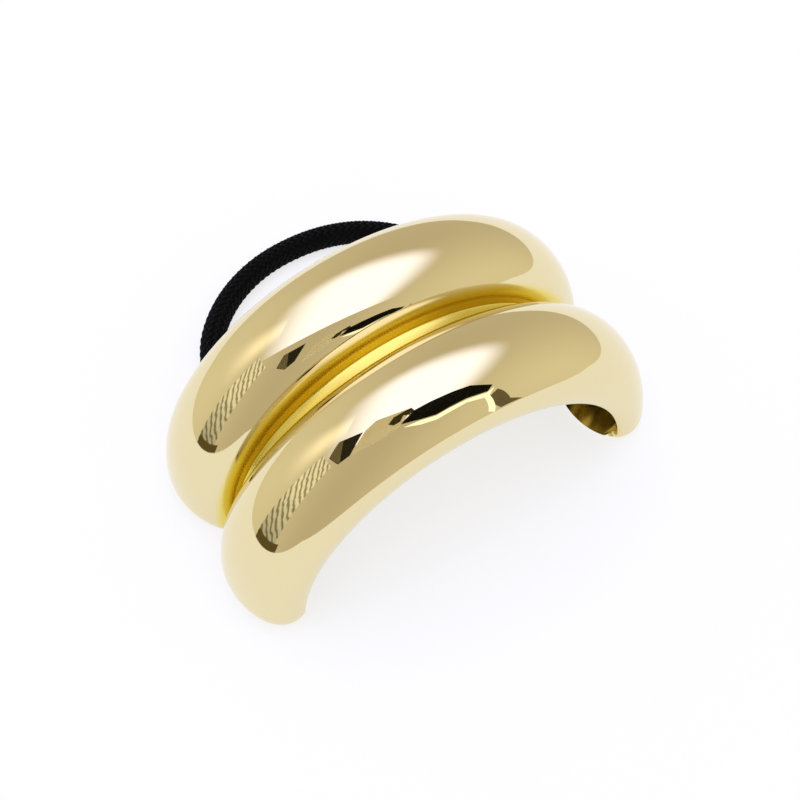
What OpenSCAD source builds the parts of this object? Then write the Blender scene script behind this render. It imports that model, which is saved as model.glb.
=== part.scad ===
// Hair tie: a double-dome metal cuff on a round elastic loop.
// The cuff stands on its two feet on the table, and the elastic lies behind it.
// Origin: on the table under the middle of the cuff, X across the arch, Y to the back, Z up.

/* [Arch] */
// Radius of the arch that the domes' centre lines follow
arch_r = 20; // [20:0.1:20.3]
// How far the middle of the arch lies below the table
arch_drop = 0.75; // [0.65:0.05:0.85]
// How far the centre line moves in at the feet
foot_pull = 0.55; // [0:0.05:0.6]

/* [Domes] */
// Distance between the two domes' crests at the crown
dome_pitch = 11.8; // [11.6:0.1:12.6]
// Half the width of a dome, from its crest to its outer flank
dome_half_w = 5.2; // [4.9:0.05:5.6]
// Half the height of a dome at the crown
dome_half_h = 4.5; // [4.3:0.05:4.55]
// Share of the width that a dome gains at its foot
foot_spread = 0.17; // [0:0.01:0.25]
// Share of the height that a dome loses at its foot
foot_thin = 0.17; // [0.16:0.01:0.3]
// Share of the distance between the crests that is lost at the feet
foot_close = 0.01; // [0:0.01:0.03]
// Power of the change from crown to foot, where a higher one keeps it near the foot
change_power = 2.1; // [1.6:0.1:4]

/* [Valley] */
// Half the width of the valley between the domes at the crown
valley_half_w = 0.8; // [0.6:0.05:1.1]
// Half the width of the valley at the feet
valley_foot_half_w = 0.3; // [0.25:0.05:0.6]
// How far the valley's floor lies below the domes' centre lines
valley_sink = 0.15; // [0.1:0.05:0.2]

/* [Hollow back] */
// Wall of the domes
wall = 0.9; // [0.8:0.05:1]
// Web between the domes, from the valley's floor to the channel's roof
web = 0.7; // [0.6:0.05:0.75]
// Half the width of the channel that holds the elastic
channel_half_w = 1.6; // [1.5:0.05:1.65]
// Height of the round part of the channel's roof
channel_roof_h = 0.9; // [0.7:0.05:0.9]
// Angle round a dome's section at which its outer wall ends
outer_rim = 110; // [108:1:150]
// Angle round a dome's section at which its wall beside the channel ends
groove_rim = 160; // [156:1:164]

/* [Keeper bars] */
// Diameter of a bar across the channel
bar_d = 1; // [0.8:0.1:1.1]
// Distance of the bars from the middle of the arch
bar_r = 15.75; // [15.7:0.05:15.75]
// Angle of each bar from the crown
bar_angle = 50; // [48:1:50]
// How far a bar reaches to each side of the channel's middle
bar_reach = 4.2; // [4:0.1:4.3]

/* [Elastic] */
// Diameter of the elastic
band_d = 2.5; // [2:0.1:2.5]

/* [Hidden] */

gold = "#dcc78e";
black = "#141414";

// Stations along the arch, closer together at the feet
station_step = 4;
stations_each_way = 20;
// Angle of a foot from the crown, how far before it its edge is rounded, and the share lost there
foot_angle = 88;
tip_angle = 7.3;
tip_loss = 0.38;
// Angle at which the pocket ends, and how far before it the pocket starts to close
pocket_end = 86;
pocket_close = 3;
// Shares of the half arch at which the rounded edge has stations of its own
tip_stations = [0.932, 0.948, 0.96, 0.969, 0.975, 0.979, 0.986, 0.993];
stations = concat(
    [for (i = [len(tip_stations) - 1:-1:0]) -tip_stations[i]],
    [for (i = [-stations_each_way:stations_each_way]) i * station_step / foot_angle],
    tip_stations
);

// Angles round a dome's section, 0 on its crest and below 0 towards the valley
skin_step = 12;
least_skin_step = 4;
skin_angles = concat([for (f = [-90:skin_step:outer_rim - least_skin_step]) f], [outer_rim]);
pocket_steps = 16;
wall_steps = 3;
valley_step = 22.5;
roof_step = 30;
bar_sides = 24;

// Share of the change from crown to foot at share u of the half arch
function change(u) = pow(abs(u), change_power);

// Rounding of the foot's edge: 1 before the tip, less on it
function tip(u) =
    let (v = max(0, 1 - (1 - abs(u)) * foot_angle / tip_angle))
    1 - tip_loss * (1 - sqrt(max(0, 1 - v * v)));

// Sizes of the section at share u of the half arch
function centre_r(u) = arch_r - foot_pull * change(u);
function crest_y(u) = dome_pitch / 2 * (1 - foot_close * change(u));
function flank_w(u) = dome_half_w * (1 + foot_spread * change(u)) * tip(u);
function dome_h(u) = dome_half_h * (1 - foot_thin * change(u)) * tip(u);
function valley_w(u) = valley_half_w + (valley_foot_half_w - valley_half_w) * change(u);

// Share of the pocket's full depth, which runs out before the foot
function pocket_share(u) =
    let (left = (pocket_end - abs(u) * foot_angle) / pocket_close)
    left <= 0 ? 0 : left >= 1 ? 1 : sqrt(1 - pow(1 - left, 2));

// Points are pairs of a height from the arch's middle and a Y.

// Floor of the valley, from its middle to the groove flank
function valley_floor(u) = [
    for (b = [0:valley_step:90 - valley_step])
        [centre_r(u) - valley_sink * cos(b), valley_w(u) * sin(b)]
];

// Outside of a dome, an ellipse from its groove flank over the crest to its rim
function dome_skin(u) = [
    for (f = skin_angles)
        let (half_w = f < 0 ? crest_y(u) - valley_w(u) : flank_w(u))
        [centre_r(u) + dome_h(u) * cos(f), crest_y(u) + half_w * sin(f)]
];

// Height of a closed dome's underside at distance y from its crest
function underside_r(u, y) =
    let (share = min(1, abs(y) / (y < 0 ? crest_y(u) - valley_w(u) : flank_w(u))))
    centre_r(u) - dome_h(u) * sqrt(1 - share * share);

// Inside of a dome, from its outer rim to its groove rim. Where the pocket runs out, its points
// come down onto the closed underside between the rims.
function pocket_skin(u) =
    let (
        outer_w = flank_w(u) - wall,
        groove_w = crest_y(u) - channel_half_w - wall,
        first_y = outer_w * sin(outer_rim),
        last_y = -groove_w * sin(groove_rim)
    )
    [
        for (k = [0:pocket_steps])
            let (
                t = k / pocket_steps,
                f = outer_rim - (outer_rim + groove_rim) * t,
                open_y = (f < 0 ? groove_w : outer_w) * sin(f),
                open_r = centre_r(u) + (dome_h(u) - wall) * cos(f),
                closed_y = first_y + (last_y - first_y) * t,
                closed = [underside_r(u, closed_y), crest_y(u) + closed_y],
                open = [open_r, crest_y(u) + open_y]
            )
            closed + (open - closed) * pocket_share(u)
    ];

// Wall beside the channel, from the groove rim down to the channel
function groove_wall(u) =
    let (
        groove_w = crest_y(u) - valley_w(u),
        first_y = -groove_w * sin(groove_rim),
        last_y = channel_half_w - crest_y(u)
    )
    [
        for (k = [0:wall_steps])
            let (y = first_y + (last_y - first_y) * k / wall_steps)
            [underside_r(u, y), crest_y(u) + y]
    ];

// Roof of the channel, from its wall to the middle of the web
function channel_roof(u) =
    let (top_r = centre_r(u) - valley_sink - web, roof_h = channel_roof_h * tip(u))
    [
        for (b = [90:-roof_step:0])
            [top_r - roof_h * (1 - cos(b)), channel_half_w * sin(b)]
    ];

function half_section(u) =
    concat(valley_floor(u), dome_skin(u), pocket_skin(u), groove_wall(u), channel_roof(u));

// Whole section: one half, then the other one mirrored and without the two middle points
function section(u) =
    let (half = half_section(u), n = len(half))
    concat(half, [for (i = [n - 2:-1:1]) [half[i][0], -half[i][1]]]);

// Place of a section's point on the arch, and of one on the table at a foot
function on_arch(p, u) =
    let (a = u * foot_angle)
    [p[0] * sin(a), p[1], p[0] * cos(a) - arch_drop];
function on_table(p, u) = [sign(u) * sqrt(p[0] * p[0] - arch_drop * arch_drop), p[1], 0];

cuff_rings = concat(
    [[for (p = section(-1)) on_table(p, -1)]],
    [for (u = stations) [for (p = section(u)) on_arch(p, u)]],
    [[for (p = section(1)) on_table(p, 1)]]
);

// A solid skinned over rings of points, with flat ends or joined into a loop
module skin(rings, loop = false) {
    n = len(rings[0]);
    m = len(rings);
    last = loop ? m : m - 1;
    sides = [
        for (i = [0:last - 1], j = [0:n - 1])
            [
                i * n + j,
                i * n + (j + 1) % n,
                ((i + 1) % m) * n + (j + 1) % n,
                ((i + 1) % m) * n + j
            ]
    ];
    ends = loop ? [] : [
        [for (j = [n - 1:-1:0]) j],
        [for (j = [0:n - 1]) (m - 1) * n + j]
    ];
    polyhedron(points = [for (r = rings, p = r) p], faces = concat(sides, ends), convexity = 8);
}

// Keeper bar across the channel, set into both groove walls
module keeper_bar(angle) {
    bar_len = 2 * bar_reach;
    translate([bar_r * sin(angle), bar_len / 2, bar_r * cos(angle) - arch_drop])
        rotate([90, 0, 0])
        cylinder(h = bar_len, d = bar_d, $fn = bar_sides);
}

module cuff() {
    color(gold)
    union() {
        skin(cuff_rings);
        for (side = [-1, 1]) keeper_bar(side * bar_angle);
    }
}

// Route of the elastic, from under the crown down the channel, round behind the cuff and back
band_route = [
    [0, 0, 17], [4.3, 0, 16.5], [8.3, 0, 14.9], [11.3, 0, 12.8], [13.4, 0, 10.6],
    [14.5, 0, 8.7], [14.9, 0.1, 6.7], [14.8, 1, 4.2], [14.5, 3.2, 2.1], [14.2, 5.9, 1.3],
    [14.2, 8.8, 1.25], [14.6, 11.5, 1.25], [15, 14.2, 1.25], [14.9, 17.2, 1.25],
    [13.7, 20.2, 1.25], [11.5, 22.9, 1.25], [8.4, 25.1, 1.25], [4.8, 26.4, 1.25],
    [0.9, 26.8, 1.25], [-2.9, 26.4, 1.25], [-6.5, 25.1, 1.25], [-9.6, 23, 1.25],
    [-12, 20.3, 1.25], [-13.4, 17.2, 1.25], [-13.9, 14.2, 1.25], [-14.1, 11.5, 1.25],
    [-14.2, 8.8, 1.25], [-14.2, 5.9, 1.3], [-14.5, 3.2, 2.1], [-14.8, 1, 4.2],
    [-14.9, 0.1, 6.7], [-14.5, 0, 8.7], [-13.4, 0, 10.6], [-11.3, 0, 12.8],
    [-8.3, 0, 14.9], [-4.3, 0, 16.5]
];
band_hub = [0, 10, 6];
band_sides = 8;

function unit(v) = v / norm(v);

// Ring of the elastic round point i of its route, turned outwards from the loop's middle
function band_ring(i) =
    let (
        n = len(band_route),
        here = band_route[i],
        along = unit(band_route[(i + 1) % n] - band_route[(i + n - 1) % n]),
        out = here - band_hub,
        side = unit(out - (out * along) * along),
        up = cross(along, side)
    )
    [
        for (k = [0:band_sides - 1])
            let (a = (k + 0.5) * 360 / band_sides)
            here + band_d / 2 * (cos(a) * side + sin(a) * up)
    ];

module elastic_band() {
    color(black)
    skin([for (i = [0:len(band_route) - 1]) band_ring(i)], loop = true);
}

cuff();
elastic_band();
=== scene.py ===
# %% [markdown]
# # A hair tie with a double-dome metal cuff
# The real thing has two pieces. A polished gold cuff of two fat, hollow domes covers the gathered
# hair, and a round black elastic runs through a channel behind the domes and round the ponytail.
# Everything here is in metres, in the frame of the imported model: the cuff stands on its two feet
# on the table, X runs across the arch, Y to the back and Z up. The model comes in as a fixed
# frame, and its box is kept, because the finished pieces must stay inside it.

# %% The frame
import math

import bmesh
import bpy
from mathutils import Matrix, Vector


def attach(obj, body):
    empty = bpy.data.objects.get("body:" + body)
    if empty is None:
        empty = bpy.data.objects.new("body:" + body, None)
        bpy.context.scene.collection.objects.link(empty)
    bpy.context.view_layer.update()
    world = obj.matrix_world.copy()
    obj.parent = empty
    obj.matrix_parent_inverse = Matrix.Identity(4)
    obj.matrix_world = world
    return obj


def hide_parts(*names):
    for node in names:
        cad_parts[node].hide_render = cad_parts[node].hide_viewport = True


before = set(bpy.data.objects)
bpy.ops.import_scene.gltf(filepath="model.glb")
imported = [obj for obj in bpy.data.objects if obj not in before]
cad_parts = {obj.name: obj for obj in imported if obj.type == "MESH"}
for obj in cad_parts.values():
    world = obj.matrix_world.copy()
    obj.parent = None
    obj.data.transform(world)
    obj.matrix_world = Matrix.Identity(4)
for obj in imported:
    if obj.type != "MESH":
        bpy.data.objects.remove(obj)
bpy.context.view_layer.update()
MM = 0.001
print("nodes", sorted(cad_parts))

# %% [markdown]
# ## Helpers
# Node trees are easiest to read as a list of nodes, each with its settings and what feeds it.
# One function does that for materials and for geometry alike. Colours are given as sRGB hex, as
# a colour chart prints them, and one function turns them to the linear light Blender works in.

# %% Helpers
def linear(code):
    """The linear colour of an sRGB hex code."""
    parts = [int(code[i : i + 2], 16) / 255 for i in (1, 3, 5)]
    return [v / 12.92 if v <= 0.04045 else ((v + 0.055) / 1.055) ** 2.4 for v in parts] + [1.0]


def add(tree, kind, feeds=(), out=0, **settings):
    """Adds a node and returns one of its outputs. feeds holds a value or an output per input."""
    node = tree.nodes.new(kind)
    for name, value in settings.items():
        setattr(node, name, value)
    pairs = feeds.items() if isinstance(feeds, dict) else enumerate(feeds)
    for key, value in pairs:
        if isinstance(value, bpy.types.NodeSocket):
            tree.links.new(value, node.inputs[key])
        elif value is not None:
            node.inputs[key].default_value = value
    return node.outputs[out] if node.outputs else node


MATH = "ShaderNodeMath"
VECTOR = "ShaderNodeVectorMath"
print("black in linear light", [round(v, 4) for v in linear("#141414")])

# %% [markdown]
# ## The camera
# The photo looks down steeply, about 60 degrees above the table, from the left of the front. Its
# place was worked out from the outlines of both domes. It is close, so the near end of the arch
# looks larger than the far one, and the lens is the one that gives the cuff its size in the frame.

# %% The camera
CAMERA_TURN, CAMERA_HEIGHT = math.radians(-31.11), math.radians(60.47)
CAMERA_FAR = 120 * MM
aim = Vector((0, 0, 7.53 * MM))
back = Vector(
    (
        math.sin(CAMERA_TURN) * math.cos(CAMERA_HEIGHT),
        -math.cos(CAMERA_TURN) * math.cos(CAMERA_HEIGHT),
        math.sin(CAMERA_HEIGHT),
    )
)
lens = bpy.data.cameras.new("camera")
lens.lens, lens.sensor_width = 55.33, 36
lens.shift_x, lens.shift_y = -0.00925, 0.00584
lens.clip_start, lens.clip_end = 0.005, 10
camera = bpy.data.objects.new("camera", lens)
bpy.context.collection.objects.link(camera)
camera.rotation_mode = "QUATERNION"
camera.location = aim + back * CAMERA_FAR
camera.rotation_quaternion = (-back).to_track_quat("-Z", "Y")
bpy.context.scene.camera = camera
print("camera at mm", [round(v / MM, 1) for v in camera.location])

# %% [markdown]
# ## The elastic's route
# The elastic is one closed loop. It starts under the crown, hidden in the channel between the
# domes, comes down each side, leaves the channel near the feet and lies behind the cuff on the
# table in a round bow. These are the points of the model's own route. A smooth curve through
# them, with even steps, is what a limp loop of this thickness follows.

# %% The elastic's route
ELASTIC_D = 2.5 * MM
route_mm = [
    (0, 0, 17), (4.3, 0, 16.5), (8.3, 0, 14.9), (11.3, 0, 12.8), (13.4, 0, 10.6),
    (14.5, 0, 8.7), (14.9, 0.1, 6.7), (14.8, 1, 4.2), (14.5, 3.2, 2.1), (14.2, 5.9, 1.3),
    (14.2, 8.8, 1.25), (14.6, 11.5, 1.25), (15, 14.2, 1.25), (14.9, 17.2, 1.25),
    (13.7, 20.2, 1.25), (11.5, 22.9, 1.25), (8.4, 25.1, 1.25), (4.8, 26.4, 1.25),
    (0.9, 26.8, 1.25), (-2.9, 26.4, 1.25), (-6.5, 25.1, 1.25), (-9.6, 23, 1.25),
    (-12, 20.3, 1.25), (-13.4, 17.2, 1.25), (-13.9, 14.2, 1.25), (-14.1, 11.5, 1.25),
    (-14.2, 8.8, 1.25), (-14.2, 5.9, 1.3), (-14.5, 3.2, 2.1), (-14.8, 1, 4.2),
    (-14.9, 0.1, 6.7), (-14.5, 0, 8.7), (-13.4, 0, 10.6), (-11.3, 0, 12.8),
    (-8.3, 0, 14.9), (-4.3, 0, 16.5),
]
stops = [Vector(p) * MM for p in route_mm]


def between(a, b, c, d, t):
    """A point at share t between b and c, on the smooth curve through a, b, c and d."""
    ab, bc, cd = (max((q - p).length, 1e-9) ** 0.5 for p, q in ((a, b), (b, c), (c, d)))
    leave = (b - a) / ab - (c - a) / (ab + bc) + (c - b) / bc
    arrive = (c - b) / bc - (d - b) / (bc + cd) + (d - c) / cd
    leave, arrive = leave * bc, arrive * bc
    return (
        b * (2 * t**3 - 3 * t**2 + 1)
        + leave * (t**3 - 2 * t**2 + t)
        + c * (3 * t**2 - 2 * t**3)
        + arrive * (t**3 - t**2)
    )


ROUTE_FINE = 12
route = []
for i in range(len(stops)):
    near_stops = [stops[(i + k) % len(stops)] for k in (-1, 0, 1, 2)]
    route += [between(*near_stops, k / ROUTE_FINE) for k in range(ROUTE_FINE)]
for p in route:
    p.z = max(p.z, ELASTIC_D / 2)
route_length = sum((route[i] - route[i - 1]).length for i in range(len(route)))
print("elastic's length in mm", round(route_length / MM, 2), "points", len(route))

# %% [markdown]
# ## The elastic's braid
# A hair elastic is a rubber core in a sleeve of fine yarns, which a braiding machine lays in two
# sets that wind opposite ways and pass over and under each other. It could be a plain tube with
# a bump map, but then the edge against the light would be dead straight. So each yarn is a real
# strand. Geometry Nodes copies the route once per strand and winds the copy round it: a strand
# goes out where it passes over a strand of the other set and in where it passes under.

# %% Trees and their sockets
def new_tree(name, wants):
    """A geometry tree with a geometry input and output, and an input for each wanted value."""
    tree = bpy.data.node_groups.new(name, "GeometryNodeTree")
    for way in ("INPUT", "OUTPUT"):
        tree.interface.new_socket("Geometry", in_out=way, socket_type="NodeSocketGeometry")
    for key, value in wants.items():
        kind = {float: "Float", int: "Int"}.get(type(value), "Material")
        tree.interface.new_socket(key, in_out="INPUT", socket_type="NodeSocket" + kind)
    return tree, tree.nodes.new("NodeGroupInput").outputs


def grow(name, base, tree, wants):
    """Runs the tree on a base mesh with these values and keeps the result as a plain mesh."""
    seed = bpy.data.objects.new(name + "_seed", base)
    bpy.context.collection.objects.link(seed)
    modifier = seed.modifiers.new("grow", "NODES")
    modifier.node_group = tree
    for item in tree.interface.items_tree:
        if item.in_out == "INPUT" and item.name in wants:
            modifier[item.identifier] = wants[item.name]
    graph = bpy.context.evaluated_depsgraph_get()
    mesh = bpy.data.meshes.new_from_object(seed.evaluated_get(graph), depsgraph=graph)
    mesh.name = name
    bpy.data.objects.remove(seed)
    piece = bpy.data.objects.new(name, mesh)
    bpy.context.collection.objects.link(piece)
    print(name, "triangles", sum(len(f.vertices) - 2 for f in mesh.polygons))
    return piece


def box_in_mm(piece):
    """The lowest and the highest corner of a piece's mesh, in millimetres."""
    spots = [v.co for v in piece.data.vertices]
    return [[round(end(s[i] for s in spots) / MM, 2) for i in range(3)] for end in (min, max)]


print("helpers for trees", new_tree.__name__, grow.__name__, box_in_mm.__name__)

# %% [markdown]
# ## The black yarn
# The sleeve's yarn is polyester, spun fine and dyed black. It drinks the light: no highlight is
# seen on it, only a faint sheen where its loose fibres stand against the light. A picture of a
# braid could be laid on it, but the strands are real here and cast their own small shadows, so a
# rough black with a low specular level and a touch of sheen is all that it needs.

# %% The black yarn
def new_finish(name):
    """An empty material, and its tree of nodes."""
    finish = bpy.data.materials.new(name)
    finish.use_nodes = True
    finish.node_tree.nodes.clear()
    return finish, finish.node_tree


black_yarn, yarn = new_finish("braided_black_polyester")
yarn_skin = add(
    yarn,
    "ShaderNodeBsdfPrincipled",
    {
        "Base Color": linear("#040404"),
        "Roughness": 0.9,
        "Specular IOR Level": 0.1,
        "Sheen Weight": 0.02,
        "Sheen Roughness": 0.5,
    },
)
add(yarn, "ShaderNodeOutputMaterial", {"Surface": yarn_skin})
print("yarn material", black_yarn.name)

# %% [markdown]
# ## The braid's tree
# A braid is set by few numbers: how many strands wind each way, how many turns they make round
# the loop, how far they go out and in, and how thick they are. One strand could be drawn and
# copied by hand, but every change would mean drawing it again. So the numbers are the tree's
# named inputs, and three short cells build the tree: the copies, their winding and their mesh.

# %% The braid's sizes
braid_sizes = {
    "Braid radius": 1.15 * MM,  # to the middle of a strand
    "Weave depth": 0.05 * MM,  # how far a strand goes out and in
    "Strand half width": 0.3 * MM,
    "Strand half thickness": 0.1 * MM,
    "Core radius": 1.05 * MM,
    "Strands each way": 10,
    "Turns": 14,
    "Steps": 840,
    "Yarn": black_yarn,
}
CORE_STEPS = 240
braid, braid_in = new_tree("braid", braid_sizes)
print("lay of a strand in mm", round(route_length / braid_sizes["Turns"] / MM, 2))

# %% The braid's tree: the route, and one copy of it for each strand
STORED = "GeometryNodeStoreNamedAttribute"
NAMED = "GeometryNodeInputNamedAttribute"
strand_line = add(braid, "GeometryNodeMeshToCurve", [braid_in["Geometry"]])
strand_line = add(
    braid, "GeometryNodeResampleCurve", {"Curve": strand_line, "Count": braid_in["Steps"]}
)
tangent = add(braid, "GeometryNodeInputTangent")
normal = add(braid, "GeometryNodeInputNormal")
share = add(braid, "GeometryNodeSplineParameter")
kept = add(braid, STORED, {"Geometry": strand_line, "Name": "way", "Value": share})
for key, value in (("ahead", tangent), ("out", normal)):
    kept = add(
        braid, STORED, {"Geometry": kept, "Name": key, "Value": value}, data_type="FLOAT_VECTOR"
    )
total = add(braid, MATH, [braid_in["Strands each way"], 2.0], operation="MULTIPLY")
copies = add(
    braid,
    "GeometryNodeDuplicateElements",
    {"Geometry": kept, "Amount": total},
    domain="SPLINE",
)
strand_number = copies.node.outputs["Duplicate Index"]
print("nodes so far", len(braid.nodes))

# %% The braid's tree: where each strand winds
way = add(braid, NAMED, {"Name": "way"})
ahead = add(braid, NAMED, {"Name": "ahead"}, data_type="FLOAT_VECTOR")
out_of = add(braid, NAMED, {"Name": "out"}, data_type="FLOAT_VECTOR")
# Odd strands wind one way and even ones the other
odd = add(braid, MATH, [strand_number, 2.0], operation="FLOORED_MODULO")
sense = add(braid, MATH, [odd, -2.0, 1.0], operation="MULTIPLY_ADD")
pair = add(braid, MATH, [strand_number, 2.0], operation="DIVIDE")
pair = add(braid, MATH, [pair], operation="FLOOR")
pair = add(braid, MATH, [pair, braid_in["Strands each way"]], operation="DIVIDE")
wound = add(braid, MATH, [way, braid_in["Turns"]], operation="MULTIPLY")
turn = add(braid, MATH, [wound, sense, pair], operation="MULTIPLY_ADD")
turn = add(braid, MATH, [turn, math.tau], operation="MULTIPLY")
# Over and under: one crossing after the other, and the two sets take turns
beat = add(braid, MATH, [wound, braid_in["Strands each way"]], operation="MULTIPLY")
beat = add(braid, MATH, [beat, math.tau], operation="MULTIPLY")
beat = add(braid, MATH, [beat], operation="COSINE")
beat = add(braid, MATH, [beat, sense], operation="MULTIPLY")
far_out = add(
    braid,
    MATH,
    [beat, braid_in["Weave depth"], braid_in["Braid radius"]],
    operation="MULTIPLY_ADD",
)
radial = add(
    braid,
    "ShaderNodeVectorRotate",
    {"Vector": out_of, "Axis": ahead, "Angle": turn},
    rotation_type="AXIS_ANGLE",
)
shift = add(braid, VECTOR, {0: radial, "Scale": far_out}, operation="SCALE")
strands = add(braid, "GeometryNodeSetPosition", {"Geometry": copies, "Offset": shift})
strands = add(
    braid, "GeometryNodeSetCurveNormal", {"Curve": strands, "Normal": radial}, mode="FREE"
)
print("nodes so far", len(braid.nodes))

# %% The braid's tree: a flat strand, the core, and one mesh of all
strand_ring = add(
    braid, "GeometryNodeCurvePrimitiveCircle", {"Resolution": 4, "Radius": 1.0}, mode="RADIUS"
)
flat = add(
    braid,
    "ShaderNodeCombineXYZ",
    [braid_in["Strand half thickness"], braid_in["Strand half width"], 1.0],
)
strand_ring = add(braid, "GeometryNodeTransform", {"Geometry": strand_ring, "Scale": flat})
strands = add(
    braid, "GeometryNodeCurveToMesh", {"Curve": strands, "Profile Curve": strand_ring}
)
core_ring = add(
    braid,
    "GeometryNodeCurvePrimitiveCircle",
    {"Resolution": 12, "Radius": braid_in["Core radius"]},
    mode="RADIUS",
)
core_line = add(braid, "GeometryNodeMeshToCurve", [braid_in["Geometry"]])
core_line = add(
    braid, "GeometryNodeResampleCurve", {"Curve": core_line, "Count": CORE_STEPS}
)
core = add(braid, "GeometryNodeCurveToMesh", {"Curve": core_line, "Profile Curve": core_ring})
sleeve = add(braid, "GeometryNodeJoinGeometry")
for tube in (core, strands):
    braid.links.new(tube, sleeve.node.inputs[0])
sleeve = add(braid, "GeometryNodeSetShadeSmooth", {"Geometry": sleeve, "Shade Smooth": True})
sleeve = add(braid, "GeometryNodeRealizeInstances", [sleeve])
sleeve = add(
    braid, "GeometryNodeSetMaterial", {"Geometry": sleeve, "Material": braid_in["Yarn"]}
)
add(braid, "NodeGroupOutput", [sleeve])
print("braid tree nodes", len(braid.nodes))

# %% [markdown]
# ## The elastic
# The braid's tree runs on the bare route, a closed line of edges, and the result is kept as a
# plain mesh. It replaces the model's smooth tube, which only holds its place.

# %% The elastic
route_mesh = bpy.data.meshes.new("elastic_route")
route_mesh.from_pydata(route, [(i, (i + 1) % len(route)) for i in range(len(route))], [])
elastic = grow("black_elastic_braid", route_mesh, braid, braid_sizes)
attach(elastic, "root")
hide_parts("elastic_band")
print("elastic's box in mm", box_in_mm(elastic))

# %% [markdown]
# ## The cuff's section
# The cuff is one casting. Cut across the arch, it shows two fat ellipses side by side: the
# domes, thin-walled and open at the back, joined by a web at the bottom of the valley, with the
# elastic's channel under the web. Everywhere along the arch the section is the same, but its
# sizes change towards the feet. So each point of the section is kept as a recipe: how much of
# each size it takes. Near the feet the hollows close, and a second recipe puts the same point on
# the closed underside. The rims get a small round, as a polished edge has. Each point also
# carries its share of satin and of a painted deeper tint, which stands in for light bounced twice,
# and the metal reads it later.

# %% The section's fixed sizes
WALL, WEB = 0.9 * MM, 0.7 * MM  # the domes' metal, and the metal under the valley
SINK = 0.15 * MM  # how far the valley's floor lies below the domes' centre line
CHANNEL_HALF, CHANNEL_ROOF = 1.6 * MM, 0.9 * MM  # half its width, and how far its roof is arched
OUTER_RIM, GROOVE_RIM = 110, 160  # degrees from the crest, on the flank and under the valley
RIM_ROUND = 0.2 * MM
CREST, VALLEY, FLANK, HEIGHT = 5.9 * MM, 0.8 * MM, 5.2 * MM, 4.5 * MM  # at the crown


def row(rise, reach, offset=0.0, shut_reach=None, shut_offset=None, least=1.0, most=1.0):
    """
    A point's recipe as one flat list of numbers, so that recipes can be mixed. least and most
    are its shares of the open form where the hollow is closed and where it is open.
    """
    shut_reach = reach if shut_reach is None else shut_reach
    shut_offset = offset if shut_offset is None else shut_offset
    return [*rise, *reach, offset, *shut_reach, shut_offset, least, most]


def skin(angle):
    """A point on the outside, at this angle from the crest. Angles below 0 face the valley."""
    c, s = math.cos(math.radians(angle)), math.sin(math.radians(angle))
    return row((c, 0, 0), (1 + s, -s, 0) if s < 0 else (1, 0, s))


def hollow(share):
    """A point inside the hollow, from its outer rim to its groove rim."""
    angle = math.radians(OUTER_RIM - (OUTER_RIM + GROOVE_RIM) * share)
    c, s = math.cos(angle), math.sin(angle)
    first, last = (math.sin(math.radians(a)) for a in (OUTER_RIM, GROOVE_RIM))
    groove_in = CHANNEL_HALF + WALL
    return row(
        (c, 0, -c * WALL),
        (1 + s, 0, 0) if s < 0 else (1, 0, s),
        -s * groove_in if s < 0 else -s * WALL,
        (1 - last * share, 0, first * (1 - share)),
        last * share * groove_in - first * (1 - share) * WALL,
        least=0.0,
    )


def groove_wall(share):
    """A point under the wall beside the channel, from the groove rim to the channel."""
    last = math.sin(math.radians(GROOVE_RIM))
    reach = (1 - (1 - share) * last - share, (1 - share) * last, 0)
    return row((0, 0, 0), reach, share * CHANNEL_HALF, least=0.0, most=0.0)


def mixed(rows, weights):
    """A recipe between others."""
    return [sum(w * r[i] for w, r in zip(weights, rows)) for i in range(len(rows[0]))]


def place(recipe):
    """Where a recipe's open form lies at the crown: height above the centre line, and Y."""
    rise, reach = recipe[0:3], recipe[3:6]
    y = sum(a * b for a, b in zip(reach, (CREST, VALLEY, FLANK))) + recipe[6]
    return Vector((rise[0] * HEIGHT + rise[1] + rise[2], y))


def eased(before, corner, after, steps=5):
    """A corner with a small round, as recipes whose least is 0 and whose most is 1."""
    ends = []
    for other in (before, after):
        cut = RIM_ROUND / (place(other) - place(corner)).length
        ends.append(mixed((corner, other), (1 - cut, cut)))
    out = []
    for k in range(steps + 1):
        t = k / steps
        weights = ((1 - t) ** 2, 2 * t * (1 - t), t * t)
        out.append(mixed((ends[0], corner, ends[1]), weights)[:-2] + [0.0, 1.0])
    return out


print("crest at mm", [round(v / MM, 3) for v in place(skin(0))])

# %% The section's points
SKIN_STEP, ARC_STEP = 2.5, 10  # degrees
HOLLOW_STEPS, WALL_STEPS = 48, 7
RIM_LEAD, GROOVE_LEAD = 5, 4  # degrees of skin left free before a rim, for its round
floor_rows = [
    row((0, 0, -SINK * math.cos(math.radians(b))), (0, math.sin(math.radians(b)), 0))
    for b in range(0, 90, ARC_STEP)
]
skin_count = int((OUTER_RIM - RIM_LEAD + 90) / SKIN_STEP)
skin_angles = [SKIN_STEP * k - 90 for k in range(skin_count)]
skin_rows = [skin(angle) for angle in skin_angles]
outer_edge = eased(skin(OUTER_RIM - RIM_LEAD), skin(OUTER_RIM), hollow(0))
inner_edge = eased(skin(OUTER_RIM), hollow(0), hollow(1 / HOLLOW_STEPS))
hollow_rows = [hollow(k / HOLLOW_STEPS) for k in range(1, HOLLOW_STEPS)]
groove_inner = eased(hollow(1 - 1 / HOLLOW_STEPS), hollow(1), skin(-GROOVE_RIM))
groove_outer = eased(hollow(1), skin(-GROOVE_RIM), skin(GROOVE_LEAD - GROOVE_RIM))
wall_rows = [groove_wall(k / WALL_STEPS) for k in range(2, WALL_STEPS + 1)]
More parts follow.
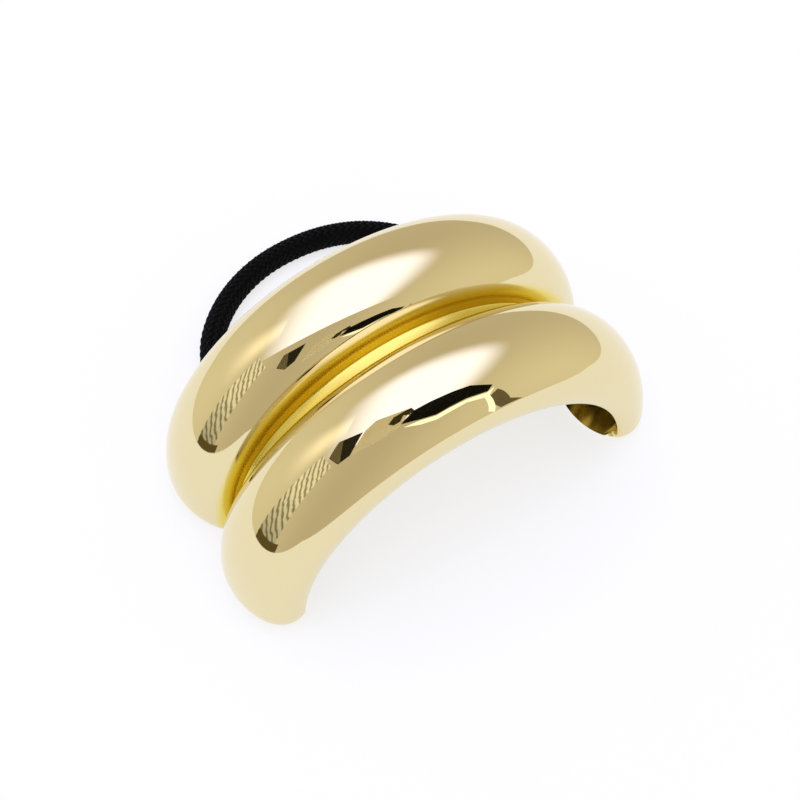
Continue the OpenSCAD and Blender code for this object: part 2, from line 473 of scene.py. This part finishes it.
roof_rows = [
    row(
        (0, -CHANNEL_ROOF * (1 - math.cos(math.radians(b))), -SINK - WEB),
        (0, 0, 0),
        CHANNEL_HALF * math.sin(math.radians(b)),
    )
    for b in range(90, -1, -ARC_STEP)
]
half = [
    *floor_rows, *skin_rows, *outer_edge, *inner_edge, *hollow_rows,
    *groove_inner, *groove_outer, *wall_rows, *roof_rows,
]
around = [(r, 1.0) for r in half] + [(r, -1.0) for r in half[-2:0:-1]]
print("points round the section", len(around))

# %% The section as a ring of edges that carries the recipes
ring_mesh = bpy.data.meshes.new("cuff_section")
count = len(around)
ring_mesh.from_pydata(
    [(place(r)[1] * side, place(r)[0], 0) for r, side in around],
    [(i, (i + 1) % count) for i in range(count)],
    [],
)
fields = {
    "rise": (0, 3), "reach": (3, 6), "offset": (6, 7), "shut_reach": (7, 10),
    "shut_offset": (10, 11), "least": (11, 12), "most": (12, 13),
}
for name, (first, last) in fields.items():
    long = last - first == 3
    layer = ring_mesh.attributes.new(name, "FLOAT_VECTOR" if long else "FLOAT", "POINT")
    values = [v for r, _ in around for v in r[first:last]]
    layer.data.foreach_set("vector" if long else "value", values)
layer = ring_mesh.attributes.new("side", "FLOAT", "POINT")
layer.data.foreach_set("value", [side for _, side in around])
print("section carries", sorted(fields))

# %% Where the gold gets a painted deeper tint, for light bounced twice
# Painted light: a deeper tint that stands in for light bounced twice; the same share gives satin.
# All of it on the valley's floor, less up the valley's sides, and less than half on the inside
DEEP_FROM, DEEP_TO = -60, -70
INSIDE_DEEP = 0.4
bounce_tint_and_satin = [1.0] * len(floor_rows)
bounce_tint_and_satin += [min(1, max(0, (DEEP_FROM - a) / (DEEP_FROM - DEEP_TO))) for a in skin_angles]
bounce_tint_and_satin += [INSIDE_DEEP] * (len(half) - len(bounce_tint_and_satin))
layer = ring_mesh.attributes.new("bounce_tint_and_satin", "FLOAT", "POINT")
layer.data.foreach_set("value", [*bounce_tint_and_satin, *bounce_tint_and_satin[-2:0:-1]])
print("points with the deeper colour", sum(v > INSIDE_DEEP for v in bounce_tint_and_satin), "of", len(bounce_tint_and_satin))

# %% [markdown]
# ## The polished gold
# The cuff is brass, cast, ground, polished on a cloth wheel and plated with pale gold. Polishing
# leaves a mirror, so nearly all that the eye sees on it is the room: that comes from the lights
# and the table, and the metal only tints it. Gold plate of about 14 carats takes out more blue
# than red. Where light bounces twice, as in the valley, it is tinted twice and looks much deeper.
# The wheel doesn't reach the valley's floor, so it stays satin there. The deeper colour is painted
# light: a deeper tint, laid on the valley and more lightly in the hollows, stands in for light
# bounced twice. Tint and satin are given by an attribute of the surface, which follows the shape
# wherever it goes.

# %% The polished gold
POLISH = 0.035
SATIN = 0.2  # roughness that the unpolished floor has on top
DENT_WIDTH = 9.1 * MM  # from one shallow dent of the wheel to the next
DENT_DEPTH = 0.012 * MM
gold_plate, gold = new_finish("polished_pale_gold_plate")
in_valley = add(gold, "ShaderNodeAttribute", attribute_name="bounce_tint_and_satin", out=2)
# A Mix node's sockets: 0 is the factor, 6 and 7 are its two colours, and 2 and 3 its two numbers
# Painted light: the second colour is a deeper tint that stands in for light bounced twice
gold_tint = add(
    gold,
    "ShaderNodeMix",
    {0: in_valley, 6: linear("#e8dbad"), 7: linear("#e8d46a")},
    out=2,
    data_type="RGBA",
)
gold_polish = add(gold, MATH, [in_valley, SATIN, POLISH], operation="MULTIPLY_ADD")
gold_at = add(gold, "ShaderNodeTexCoord", out=3)
waves = add(
    gold, "ShaderNodeTexNoise", {"Vector": gold_at, "Scale": 1 / DENT_WIDTH, "Detail": 1.0}
)
dents = add(gold, "ShaderNodeBump", {"Strength": 1.0, "Distance": DENT_DEPTH, "Height": waves})
gold_skin = add(
    gold,
    "ShaderNodeBsdfPrincipled",
    {"Base Color": gold_tint, "Metallic": 1.0, "Roughness": gold_polish, "Normal": dents},
)
add(gold, "ShaderNodeOutputMaterial", {"Surface": gold_skin})
print("metal", gold_plate.name)

# %% [markdown]
# ## The cuff's form
# An arch with one section all the way could be a plain spin, as on a lathe. Here the section
# changes along the arch: the domes spread, thin and close up towards the feet, and the hollows
# end just above the soles. So the ring of recipes is swept along a straight rail, which gives
# each point its share of the way from foot to foot. The tree then works out the sizes at that
# share, cooks each recipe with them, and one Set Position node bends the result round the arch.

# %% The cuff's sizes
FOOT_ANGLE = 88  # degrees from the crown to a foot
TIP_ANGLE = 7.3  # over which the edge of a foot is rounded
HOLLOW_ANGLE, CLOSE_ANGLE = 86, 3  # where the hollows end, and over which they close
cuff_sizes = {
    "Arch radius": 20 * MM,  # to the domes' centre line, at the crown
    "Arch drop": 0.75 * MM,  # how far the arch's centre lies below the table
    "Foot pull": 0.55 * MM,  # how much smaller the radius is at the feet
    "Half pitch": CREST,
    "Foot close": 0.01,  # share by which the crests come closer at the feet
    "Dome half width": FLANK,
    "Foot spread": 0.17,  # share by which a dome grows wider there
    "Dome half height": HEIGHT,
    "Foot thin": 0.17,  # share by which it grows thinner there
    "Valley half width": VALLEY,
    "Valley foot half width": 0.3 * MM,
    "Change power": 2.1,  # the higher, the nearer to the feet all this happens
    "Foot angle": math.radians(FOOT_ANGLE),
    "Tip share": TIP_ANGLE / FOOT_ANGLE,
    "Tip loss": 0.38,  # share of a dome's size that the rounded edge takes off
    "Hollow end": HOLLOW_ANGLE / FOOT_ANGLE,
    "Hollow close": CLOSE_ANGLE / FOOT_ANGLE,
    "Bar radius": 0.5 * MM,
    "Bar length": 8.4 * MM,
    "Bar distance": 15.75 * MM,
    "Bar angle": math.radians(50),
    "Stations": 230,
    "Metal": gold_plate,
}
dome, dome_in = new_tree("double dome", cuff_sizes)
print("inputs of the cuff's tree", len(cuff_sizes))

# %% The cuff's tree: the sweep
GATHER = 0.45  # how strongly the stations gather at the feet
section_ring = add(dome, "GeometryNodeMeshToCurve", [dome_in["Geometry"]])
rail = add(
    dome, "GeometryNodeCurvePrimitiveLine", {"Start": (-1, 0, 0), "End": (1, 0, 0)}
)
rail = add(dome, "GeometryNodeResampleCurve", {"Curve": rail, "Count": dome_in["Stations"]})
station = add(dome, "GeometryNodeInputPosition")
station = add(dome, "ShaderNodeSeparateXYZ", [station])
# Stations gather at the feet: t becomes (1 + GATHER) times t, less GATHER times t cubed
cube = add(dome, MATH, [station, 3.0], operation="POWER")
gathered = add(dome, MATH, [cube, -GATHER], operation="MULTIPLY")
gathered = add(dome, MATH, [station, 1 + GATHER, gathered], operation="MULTIPLY_ADD")
rail = add(dome, STORED, {"Geometry": rail, "Name": "along", "Value": gathered})
swept = add(
    dome,
    "GeometryNodeCurveToMesh",
    {"Curve": rail, "Profile Curve": section_ring, "Fill Caps": True},
)
along = add(dome, NAMED, {"Name": "along"})
print("nodes so far", len(dome.nodes))

# %% The cuff's tree: the sizes at a share of the way
# The share is 0 at the crown and 1 at a foot
foot_share = add(dome, MATH, [along], operation="ABSOLUTE")
foot_share = add(dome, MATH, [foot_share, 1.0], operation="MINIMUM")
change = add(dome, MATH, [foot_share, dome_in["Change power"]], operation="POWER")
to_go = add(dome, MATH, [1.0, foot_share], operation="SUBTRACT")
tip = add(dome, MATH, [to_go, dome_in["Tip share"]], operation="DIVIDE")
tip = add(dome, MATH, [1.0, tip], operation="SUBTRACT", use_clamp=True)
tip = add(dome, MATH, [tip, tip], operation="MULTIPLY")
tip = add(dome, MATH, [1.0, tip], operation="SUBTRACT", use_clamp=True)
tip = add(dome, MATH, [tip], operation="SQRT")
tip = add(dome, MATH, [1.0, tip], operation="SUBTRACT")
tip = add(dome, MATH, [tip, dome_in["Tip loss"]], operation="MULTIPLY")
tip = add(dome, MATH, [1.0, tip], operation="SUBTRACT")
centre = add(dome, MATH, [change, dome_in["Foot pull"]], operation="MULTIPLY")
centre = add(dome, MATH, [dome_in["Arch radius"], centre], operation="SUBTRACT")
crest = add(dome, MATH, [change, dome_in["Foot close"]], operation="MULTIPLY")
crest = add(dome, MATH, [1.0, crest], operation="SUBTRACT")
crest = add(dome, MATH, [crest, dome_in["Half pitch"]], operation="MULTIPLY")
flank = add(dome, MATH, [change, dome_in["Foot spread"], 1.0], operation="MULTIPLY_ADD")
flank = add(dome, MATH, [flank, dome_in["Dome half width"]], operation="MULTIPLY")
flank = add(dome, MATH, [flank, tip], operation="MULTIPLY")
height = add(dome, MATH, [change, dome_in["Foot thin"]], operation="MULTIPLY")
height = add(dome, MATH, [1.0, height], operation="SUBTRACT")
height = add(dome, MATH, [height, dome_in["Dome half height"]], operation="MULTIPLY")
height = add(dome, MATH, [height, tip], operation="MULTIPLY")
valley = add(
    dome,
    "ShaderNodeMix",
    {0: change, 2: dome_in["Valley half width"], 3: dome_in["Valley foot half width"]},
)
# How far the hollow is open: all of the way, then less along a quarter circle, then not at all
open_way = add(dome, MATH, [dome_in["Hollow end"], foot_share], operation="SUBTRACT")
open_way = add(
    dome, MATH, [open_way, dome_in["Hollow close"]], operation="DIVIDE", use_clamp=True
)
open_way = add(dome, MATH, [1.0, open_way], operation="SUBTRACT")
open_way = add(dome, MATH, [open_way, open_way], operation="MULTIPLY")
open_way = add(dome, MATH, [1.0, open_way], operation="SUBTRACT", use_clamp=True)
open_way = add(dome, MATH, [open_way], operation="SQRT")
print("nodes so far", len(dome.nodes))

# %% The cuff's tree: the recipe's open form and its closed one
widths = add(dome, "ShaderNodeCombineXYZ", [crest, valley, flank])
heights = add(dome, "ShaderNodeCombineXYZ", [height, tip, 1.0])
found = {}
for name, (first, last) in fields.items():
    kind = "FLOAT_VECTOR" if last - first == 3 else "FLOAT"
    found[name] = add(dome, NAMED, {"Name": name}, data_type=kind)
found["side"] = add(dome, NAMED, {"Name": "side"})
open_r = add(dome, VECTOR, [found["rise"], heights], out=1, operation="DOT_PRODUCT")
open_r = add(dome, MATH, [centre, open_r], operation="ADD")
open_y = add(dome, VECTOR, [found["reach"], widths], out=1, operation="DOT_PRODUCT")
open_y = add(dome, MATH, [open_y, found["offset"]], operation="ADD")
shut_y = add(dome, VECTOR, [found["shut_reach"], widths], out=1, operation="DOT_PRODUCT")
shut_y = add(dome, MATH, [shut_y, found["shut_offset"]], operation="ADD")
# The closed underside: the dome's own ellipse, below the centre line
aside = add(dome, MATH, [shut_y, crest], operation="SUBTRACT")
inward = add(dome, MATH, [aside, 0.0], operation="LESS_THAN")
groove_w = add(dome, MATH, [crest, valley], operation="SUBTRACT")
half_w = add(dome, "ShaderNodeMix", {0: inward, 2: flank, 3: groove_w})
under = add(dome, MATH, [aside], operation="ABSOLUTE")
under = add(dome, MATH, [under, half_w], operation="DIVIDE", use_clamp=True)
under = add(dome, MATH, [under, under], operation="MULTIPLY")
under = add(dome, MATH, [1.0, under], operation="SUBTRACT", use_clamp=True)
under = add(dome, MATH, [under], operation="SQRT")
under = add(dome, MATH, [under, height], operation="MULTIPLY")
shut_r = add(dome, MATH, [centre, under], operation="SUBTRACT")
free = add(dome, "ShaderNodeMix", {0: open_way, 2: found["least"], 3: found["most"]})
now_r = add(dome, "ShaderNodeMix", {0: free, 2: shut_r, 3: open_r})
now_y = add(dome, "ShaderNodeMix", {0: free, 2: shut_y, 3: open_y})
now_y = add(dome, MATH, [now_y, found["side"]], operation="MULTIPLY")
print("nodes so far", len(dome.nodes))

# %% The cuff's tree: bending round the arch and standing on the table
# The last few stations lean so that the end of every line lies exactly on the table.
LEAN_SHARE = 0.05  # of the way from the crown to a foot
turned = add(dome, MATH, [foot_share, dome_in["Foot angle"]], operation="MULTIPLY")
table_angle = add(dome, MATH, [dome_in["Arch drop"], now_r], operation="DIVIDE")
table_angle = add(dome, MATH, [table_angle], operation="ARCCOSINE")
lean = add(dome, MATH, [table_angle, dome_in["Foot angle"]], operation="SUBTRACT")
last_bit = add(
    dome,
    MATH,
    [foot_share, 1 / LEAN_SHARE, 1 - 1 / LEAN_SHARE],
    operation="MULTIPLY_ADD",
    use_clamp=True,
)
turned = add(dome, MATH, [lean, last_bit, turned], operation="MULTIPLY_ADD")
foot_side = add(dome, MATH, [along], operation="SIGN")
across = add(dome, MATH, [turned], operation="SINE")
across = add(dome, MATH, [across, now_r], operation="MULTIPLY")
across = add(dome, MATH, [across, foot_side], operation="MULTIPLY")
upward = add(dome, MATH, [turned], operation="COSINE")
upward = add(dome, MATH, [upward, now_r], operation="MULTIPLY")
upward = add(dome, MATH, [upward, dome_in["Arch drop"]], operation="SUBTRACT")
bent = add(dome, "ShaderNodeCombineXYZ", [across, now_y, upward])
form = add(dome, "GeometryNodeSetPosition", {"Geometry": swept, "Position": bent})
print("nodes so far", len(dome.nodes))

# %% The cuff's tree: two keeper bars across the channel, and the finish
bar = add(
    dome,
    "GeometryNodeMeshCylinder",
    {"Vertices": 24, "Radius": dome_in["Bar radius"], "Depth": dome_in["Bar length"]},
)
two = add(dome, "GeometryNodeMeshLine", {"Count": 2, "Offset": (1, 0, 0)})
which = add(dome, "GeometryNodeInputIndex")
swing = add(dome, MATH, [which, 2.0, -1.0], operation="MULTIPLY_ADD")
swing = add(dome, MATH, [swing, dome_in["Bar angle"]], operation="MULTIPLY")
bar_x = add(dome, MATH, [swing], operation="SINE")
bar_x = add(dome, MATH, [bar_x, dome_in["Bar distance"]], operation="MULTIPLY")
bar_z = add(dome, MATH, [swing], operation="COSINE")
bar_z = add(dome, MATH, [bar_z, dome_in["Bar distance"]], operation="MULTIPLY")
bar_z = add(dome, MATH, [bar_z, dome_in["Arch drop"]], operation="SUBTRACT")
bar_at = add(dome, "ShaderNodeCombineXYZ", [bar_x, 0.0, bar_z])
two = add(dome, "GeometryNodeSetPosition", {"Geometry": two, "Position": bar_at})
bars = add(
    dome,
    "GeometryNodeInstanceOnPoints",
    {"Points": two, "Instance": bar, "Rotation": (math.pi / 2, 0, 0)},
)
casting = add(dome, "GeometryNodeJoinGeometry")
for solid in (bars, form):
    dome.links.new(solid, casting.node.inputs[0])
casting = add(dome, "GeometryNodeRealizeInstances", [casting])
casting = add(dome, "GeometryNodeSetShadeSmooth", {"Geometry": casting, "Shade Smooth": True})
casting = add(
    dome, "GeometryNodeSetMaterial", {"Geometry": casting, "Material": dome_in["Metal"]}
)
add(dome, "NodeGroupOutput", [casting])
print("cuff tree nodes", len(dome.nodes))

# %% [markdown]
# ## The cuff
# The tree runs on the ring of recipes, and the result is kept as a plain mesh. A swept surface
# can come out with its faces turned inwards, and a polished metal then looks wrong, so its volume
# is measured: where that is below 0, all faces are turned. A polished casting is smooth all over
# except at its real edges, so only corners sharper than a set angle stay sharp.

# %% The cuff
SHARP_ANGLE = math.radians(32)
cuff = grow("double_dome_cuff", ring_mesh, dome, cuff_sizes)
shell = bmesh.new()
shell.from_mesh(cuff.data)
volume = shell.calc_volume(signed=True)
if volume < 0:
    bmesh.ops.reverse_faces(shell, faces=shell.faces)
shell.to_mesh(cuff.data)
shell.free()
cuff.data.set_sharp_from_angle(angle=SHARP_ANGLE)
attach(cuff, "root")
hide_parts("cuff")
print("cuff's box in mm", box_in_mm(cuff))
print("its metal in cubic mm", round(abs(volume) / MM**3))

# %% [markdown]
# ## Table and light
# The photo is a shop picture: the piece stands on a small white sheet in soft light. A polished
# piece shows its surroundings, so the light is built as a mirror needs it, from flat cards: the
# sheet, the lamps, a window and a few small flags. Point lamps would be simpler, but in polished
# metal they show as bright dots, while a card shows as the soft shape that the photo has.

# %% How the picture turns light to colour
bpy.context.scene.view_settings.view_transform = "Standard"
print("picture's colours are", bpy.context.scene.view_settings.view_transform)

# %% Cards of the studio
def flat_card(name, corners, finish, seen_directly=True):
    """A flat piece of the studio with these corners. Some are seen in mirrors only."""
    mesh = bpy.data.meshes.new(name)
    mesh.from_pydata(corners, [], [tuple(range(len(corners)))])
    mesh.materials.append(finish)
    card = bpy.data.objects.new(name, mesh)
    bpy.context.collection.objects.link(card)
    card.visible_camera = seen_directly
    return card


def paper_skin(tree, colour, shine_through, glow):
    """The matte skin of paper or board, lit from behind where glow is over 0."""
    paper = add(
        tree,
        "ShaderNodeBsdfPrincipled",
        {
            "Base Color": colour,
            "Roughness": 0.9,
            "Specular IOR Level": 0.2,
            "Emission Color": shine_through,
            "Emission Strength": glow,
        },
    )
    add(tree, "ShaderNodeOutputMaterial", {"Surface": paper})


def plain(name, colour, glow=0.0):
    """Paper or board of one colour, with white light behind it where glow is over 0."""
    board, tree = new_finish(name)
    paper_skin(tree, linear(colour), linear("#ffffff"), glow)
    return board


print("helpers for cards", flat_card.__name__, paper_skin.__name__, plain.__name__)

# %% [markdown]
# ## The white sheet
# A sheet of matte white paper lies under the piece. It is small: on each dome it shows as a cream
# band, with a sharp end where the room begins, so its edges lie where those ends are in the
# photo. A dead matte white in soft light would carry a clear shadow, and the photo shows hardly
# any, so the sheet glows a little, as a photographer's light table does.

# %% The white sheet
sheet_left, sheet_right, sheet_front, sheet_rear = (v * MM for v in (-66, 102, -61, 98))
flat_card(
    "sheet",
    [
        (sheet_left, sheet_front, 0), (sheet_right, sheet_front, 0),
        (sheet_right, sheet_rear, 0), (sheet_left, sheet_rear, 0),
    ],
    plain("matte_white_sheet", "#8f9093", glow=0.73),
)
sheet_size = (sheet_right - sheet_left, sheet_rear - sheet_front)
print("sheet in mm", [round(v / MM) for v in sheet_size])

# %% [markdown]
# ## The room
# Beyond the sheet the domes mirror the walls of the room, which give the tan middle of each dome.
# Walls could be built as boxes, but a plain glow all round does the same for a mirror. It is a
# warm grey, lighter at the front on the right and at the back on the left, as beside windows.

# %% The room
world = bpy.data.worlds.new("studio")
world.use_nodes = True
bpy.context.scene.world = world
room = world.node_tree
room.nodes.clear()
direction = add(room, "ShaderNodeTexCoord", out=3)
light_ends = tuple(Vector((0.78, -0.62, 0)).normalized())  # towards the front on the right
toward = add(room, VECTOR, [direction, light_ends], out=1, operation="DOT_PRODUCT")
toward = add(room, MATH, [toward, toward], operation="MULTIPLY")
walls = add(
    room,
    "ShaderNodeMix",
    {0: toward, 6: linear("#cdc2af"), 7: linear("#ece4ce")},
    out=2,
    data_type="RGBA",
)
wall_glow = add(room, "ShaderNodeBackground", {"Color": walls, "Strength": 1.0})
add(room, "ShaderNodeOutputWorld", {"Surface": wall_glow})
print("room's nodes", len(room.nodes))

# %% [markdown]
# ## The lamps
# A studio softbox is a white cloth with a lamp behind it. Its cloth is bright in the middle and
# fades out to its sides, and a dome shows that as a white that melts into the gold. An area light
# has a hard edge all round, so each lamp here is a card with a glow that fades where it should:
# the one overhead ends sharply on the camera's side, and the one on the left is soft all round.

# %% The lamps
def lamp(name, middle, across, up, colour, strength, fades):
    """A white cloth lit from behind. Each fade is a direction and where it starts and ends."""
    cloth, tree = new_finish(name + "_cloth")
    cloth_at = add(tree, "ShaderNodeTexCoord", out=3)
    cloth_at = add(tree, VECTOR, [cloth_at, tuple(middle)], operation="SUBTRACT")
    share_lit = None
    for way_out, start, end in fades:
        out_there = add(tree, VECTOR, [cloth_at, tuple(way_out)], out=1, operation="DOT_PRODUCT")
        # Inputs 1 to 4 are the range that comes in and the range that goes out
        fade = add(
            tree,
            "ShaderNodeMapRange",
            {"Value": out_there, 1: start, 2: end, 3: 1.0, 4: 0.0},
            interpolation_type="SMOOTHSTEP",
        )
        if share_lit is None:
            share_lit = fade
        else:
            share_lit = add(tree, MATH, [share_lit, fade], operation="MULTIPLY")
    glow = add(tree, "ShaderNodeEmission", {"Color": linear(colour), "Strength": strength})
    clear = add(tree, "ShaderNodeBsdfTransparent")
    cloth_skin = add(tree, "ShaderNodeMixShader", [share_lit, clear, glow])
    add(tree, "ShaderNodeOutputMaterial", {"Surface": cloth_skin})
    sides = ((-1, -1), (1, -1), (1, 1), (-1, 1))
    corners = [tuple(middle + across * i + up * j) for i, j in sides]
    flat_card(name, corners, cloth, seen_directly=False)


from_camera = Vector((-back.x, -back.y, 0)).normalized()
beside = Vector((from_camera.y, -from_camera.x, 0))
lamp(
    "lamp_overhead",
    middle=Vector((0, 0, 0.5)) + from_camera * 0.13,
    across=beside * 0.7,
    up=from_camera * 0.42,
    colour="#dadcff",
    strength=2.2,
    fades=[(from_camera, 0.07, 0.4), (beside, 0.18, 0.46), (-beside, 0.1, 0.62)],
)
to_left = Vector((-0.85, 0.53, 0))
along_wall = Vector((0.53, 0.85, 0))
lamp(
    "lamp_left",
    middle=to_left * 0.5 + Vector((0, 0, 0.36)),
    across=along_wall * 0.2,
    up=Vector((0, 0, 0.3)),
    colour="#fff4e4",
    strength=1.3,
    fades=[(along_wall, 0, 0.19), (-along_wall, 0, 0.19), (Vector((0, 0, -1)), -0.04, 0.28)],
)

# %% [markdown]
# ## The flags
# Without something dark to mirror, polished gold looks flat and milky. So small cards hang close
# to the domes, as a photographer's flags do: a black one gives the streak that runs along both
# domes, a dark one the shade at the left end, and brown, tan and white ones lie beside them. A
# painted streak would stay in place when the piece is turned. Each card's outline is drawn so
# that its bent reflection has the photo's shape. The cards are seen in mirrors only, and throw
# no shadow.

# %% The papers of the flags
def toned(tree, value, stops):
    """A colour that runs through these stops, each a position and a colour, as the value grows."""
    tone = add(tree, "ShaderNodeValToRGB", [value])
    ramp = tone.node.color_ramp
    ramp.elements[0].position, ramp.elements[0].color = stops[0][0], linear(stops[0][1])
    ramp.elements[1].position, ramp.elements[1].color = stops[-1][0], linear(stops[-1][1])
    for position, colour in stops[1:-1]:
        ramp.elements.new(position).color = linear(colour)
    return tone


black_card = plain("black_card", "#070606")
dark_card = plain("dark_grey_card", "#2b271d")
brown_card = plain("brown_card", "#7a7158")
edge_card = plain("dark_brown_card", "#413818")
white_card = plain("white_card", "#f4f2ec", glow=0.95)
# Recycled paper with dark fibres: too fine to tell apart, they only deepen its tan
FIBRE_WIDTH = 0.03 * MM
tan_paper, tan = new_finish("tan_recycled_paper")
tan_at = add(tan, "ShaderNodeTexCoord", out=3)
fibres = add(
    tan, "ShaderNodeTexNoise", {"Vector": tan_at, "Scale": 1 / FIBRE_WIDTH, "Detail": 2.0}
)
tan_tone = toned(tan, fibres, [(0.38, "#4a4028"), (0.44, "#e9e2cd")])
paper_skin(tan, tan_tone, tan_tone, glow=0.22)
print("papers", [m.name for m in bpy.data.materials if m.name.endswith(("card", "paper"))])

# %% The flags
def flag(name, corners_mm, finish):
    """A small card close to the piece, that mirrors see and that takes no light from the table."""
    card = flat_card(name, [tuple(v * MM for v in c) for c in corners_mm], finish, False)
    card.visible_diffuse = card.visible_shadow = False


flag(
    "streak_flag",
    [
        (-7.9, -13.4, 31), (-5.2, -11.6, 31.8), (-2.2, -11.6, 31.1), (1.2, -11.9, 30.1),
        (3.8, -12.4, 29.1), (6.6, -14.4, 26.8), (5.6, -15.6, 26.1), (2.5, -15, 27.3),
        (0.1, -15.2, 27.7), (-2.1, -15.5, 27.9), (-4.5, -14.8, 29.1),
    ],
    black_card,
)
flag(
    "side_flag",
    [
        (-25.8, -6.7, 32.5), (-23, -3.3, 35.3), (-18.2, -7.8, 38.8), (-22.4, -13.9, 34.6),
        (-25, -13, 32.5),
    ],
    dark_card,
)
flag(
    "tan_flag",
    [
        (-16.9, -11.4, 28.3), (-13.3, -7.7, 31), (-11.2, -7.1, 32.1), (-8.5, -8.8, 32.6),
        (-5.2, -10.8, 33.3), (-8.1, -14.2, 31), (-10.9, -14, 29.9), (-14, -12.8, 29),
    ],
    tan_paper,
)
flag(
    "edge_flag",
    [
        (-9.6, -10.8, 31.1), (-8.4, -9.8, 31.7), (-6.6, -10, 32), (-5.3, -10.3, 32.2),
        (-5, -11.5, 31.8), (-6, -12, 31.4), (-6.9, -11.1, 31.6), (-7.7, -12.3, 31),
        (-8.9, -12.1, 30.8),
    ],
    edge_card,
)
flag(
    "grey_flag",
    [
        (-25.4, -6.8, 32.4), (-22.6, -3.4, 35.1), (-21.9, -4.3, 35.8), (-24.5, -13.3, 32.7),
        (-24.7, -13.1, 32.5),
    ],
    brown_card,
)
flag(
    "end_flag",
    [
        (9, -23.2, 27.1), (11.1, -22.1, 28.7), (11, -22.2, 25.7), (10.3, -22.5, 19.8),
        (11.4, -21.9, 16.4), (9.8, -22.7, 16.6), (8.5, -23.4, 16.4), (8.1, -23.7, 20.5),
    ],
    brown_card,
)
flag(
    "white_strip",
    [
        (-7.6, -15.1, 30.5), (-4.6, -15.1, 29), (-2.2, -15.4, 27.4), (-0.1, -14.9, 27.1),
        (2.2, -14.6, 26.5), (4.8, -14.6, 25.2), (6, -14.1, 25.5), (4.9, -15, 24.4),
        (5.5, -18.8, 17.5), (4.5, -18.1, 19.3), (4.2, -15.2, 24.4), (2, -15, 25.8),
        (-0.3, -15.5, 26.1), (-2.3, -16, 26.3), (-4.7, -15.8, 27.8),
    ],
    white_card,
)

# %% [markdown]
# ## The window's blinds
# At the left end of each dome the photo shows fine ripples, light and dark. That is how a window
# with slatted blinds looks in a strongly bent mirror. Slats could be built one by one, but they
# are only ever seen tiny, so a card with a wavy stripe does, one stripe for each slat. The slats
# hang slanted, and the daylight behind them is weaker low down. A dark sill ends them below.

# %% The window's blinds
SLAT_PITCH = 24.17 * MM
WAVES_AT_ONE = 20 / math.tau  # stripes that the Wave texture has on one metre at scale 1
SLANT = -0.5  # radians
WINDOW_LOW, WINDOW_HIGH = -0.05, 0.26
DAYLIGHT_FULL = 0.12  # height from which the daylight is at its full strength
DAYLIGHT_LOW = 0.45  # its strength at the window's low edge
blinds, blind = new_finish("painted_window_blinds")
blind_at = add(blind, "ShaderNodeTexCoord", out=3)
slanted = add(blind, "ShaderNodeMapping", {"Vector": blind_at, "Rotation": (SLANT, 0, 0)})
stripes = add(
    blind,
    "ShaderNodeTexWave",
    {
        "Vector": slanted,
        "Scale": 1 / SLAT_PITCH / WAVES_AT_ONE,
        "Distortion": 2.6,
        "Detail": 1.0,
        "Detail Scale": 3.0,
    },
    out=1,
    wave_type="BANDS",
    bands_direction="Z",
)
slat_tone = toned(blind, stripes, [(0.05, "#a2977c"), (0.35, "#d7ceb6"), (0.7, "#fffced")])
slat_height = add(blind, "ShaderNodeSeparateXYZ", [blind_at], out=2)
daylight = add(
    blind,
    "ShaderNodeMapRange",
    {"Value": slat_height, 1: WINDOW_LOW, 2: DAYLIGHT_FULL, 3: DAYLIGHT_LOW, 4: 1.0},
)
slat_skin = add(blind, "ShaderNodeEmission", {"Color": slat_tone, "Strength": daylight})
add(blind, "ShaderNodeOutputMaterial", {"Surface": slat_skin})


def in_window(x, front, rear, low, high):
    """The corners of an upright card that faces the piece from the left."""
    return [(x, front, low), (x, rear, low), (x, rear, high), (x, front, high)]


pane = in_window(x=-0.3, front=-0.075, rear=0.06, low=WINDOW_LOW, high=WINDOW_HIGH)
flat_card("blinds", pane, blinds, seen_directly=False)
ledge = in_window(x=-0.295, front=-0.1, rear=0.055, low=-0.07, high=-0.033)
flat_card("sill", ledge, plain("dark_sill", "#6b5f3c"), seen_directly=False)
print("slats in the window", round((WINDOW_HIGH - WINDOW_LOW) / SLAT_PITCH))
